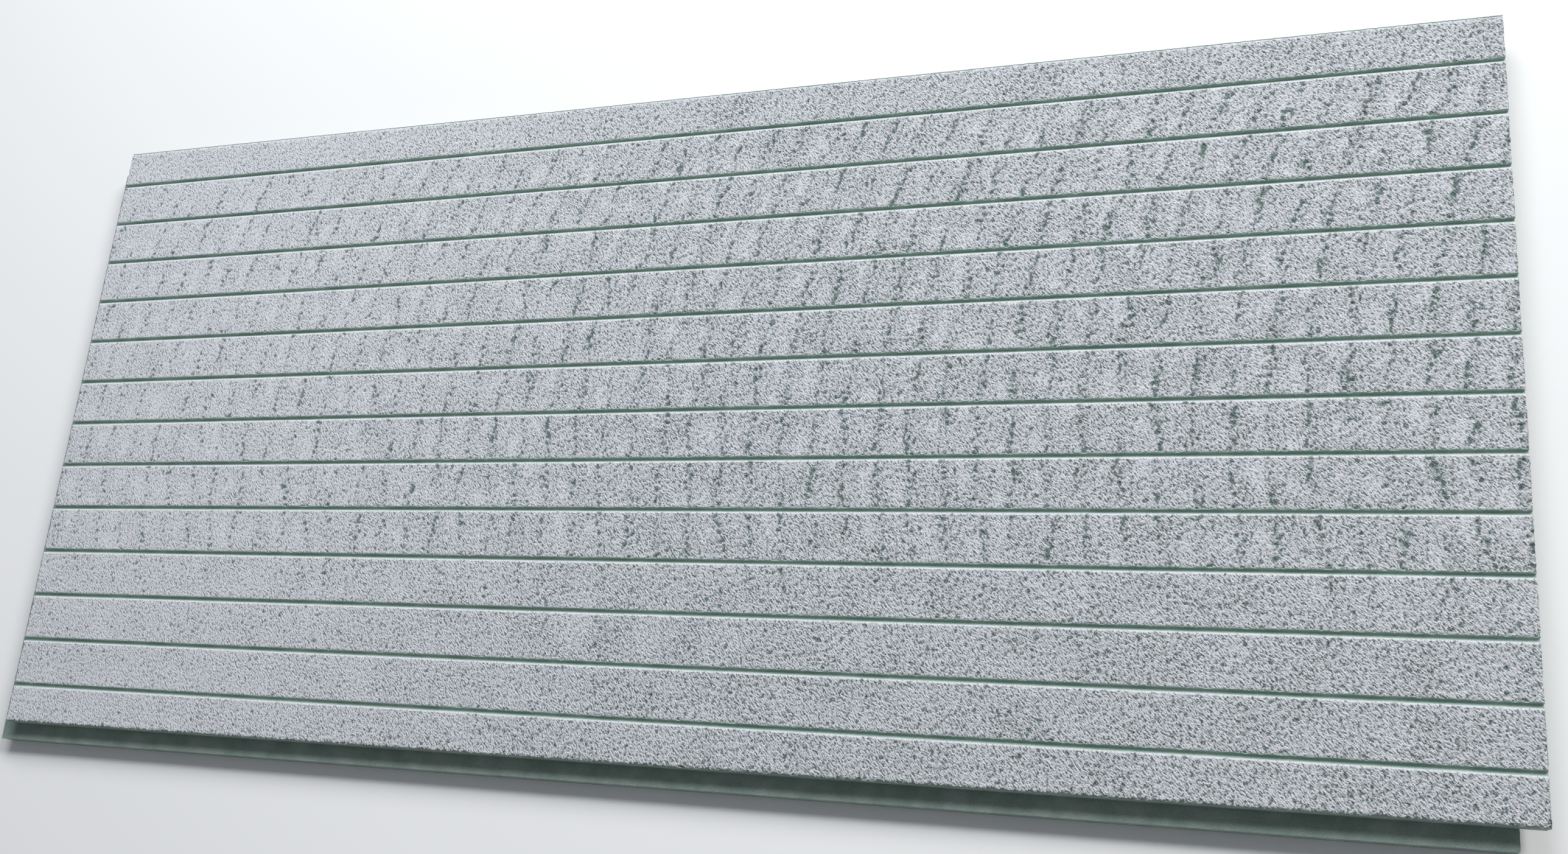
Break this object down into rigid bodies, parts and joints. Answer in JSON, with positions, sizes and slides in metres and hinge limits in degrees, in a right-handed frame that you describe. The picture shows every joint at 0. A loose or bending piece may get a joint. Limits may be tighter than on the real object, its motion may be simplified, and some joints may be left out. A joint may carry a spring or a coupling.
{
  "type": "xps insulation board",
  "caption": "Rigid foam insulation board with half-lapped edges all round and a planed face cut with evenly spaced lengthwise grooves.",
  "frame": {"origin": "middle of the back face's outline, on the plane that the board lies on", "axes": "+X along the length, towards the upper lip's end; +Y across the width, towards the upper lip's side; +Z out of the grooved face"},
  "size_m": [1.265, 0.615, 0.03],
  "materials": {
    "foam": "extruded polystyrene foam, pale grey-green, planed rough on the face and smooth at the laps"
  },
  "bodies": {
    "root": {"board": "foam"}
  },
  "joints": []
}
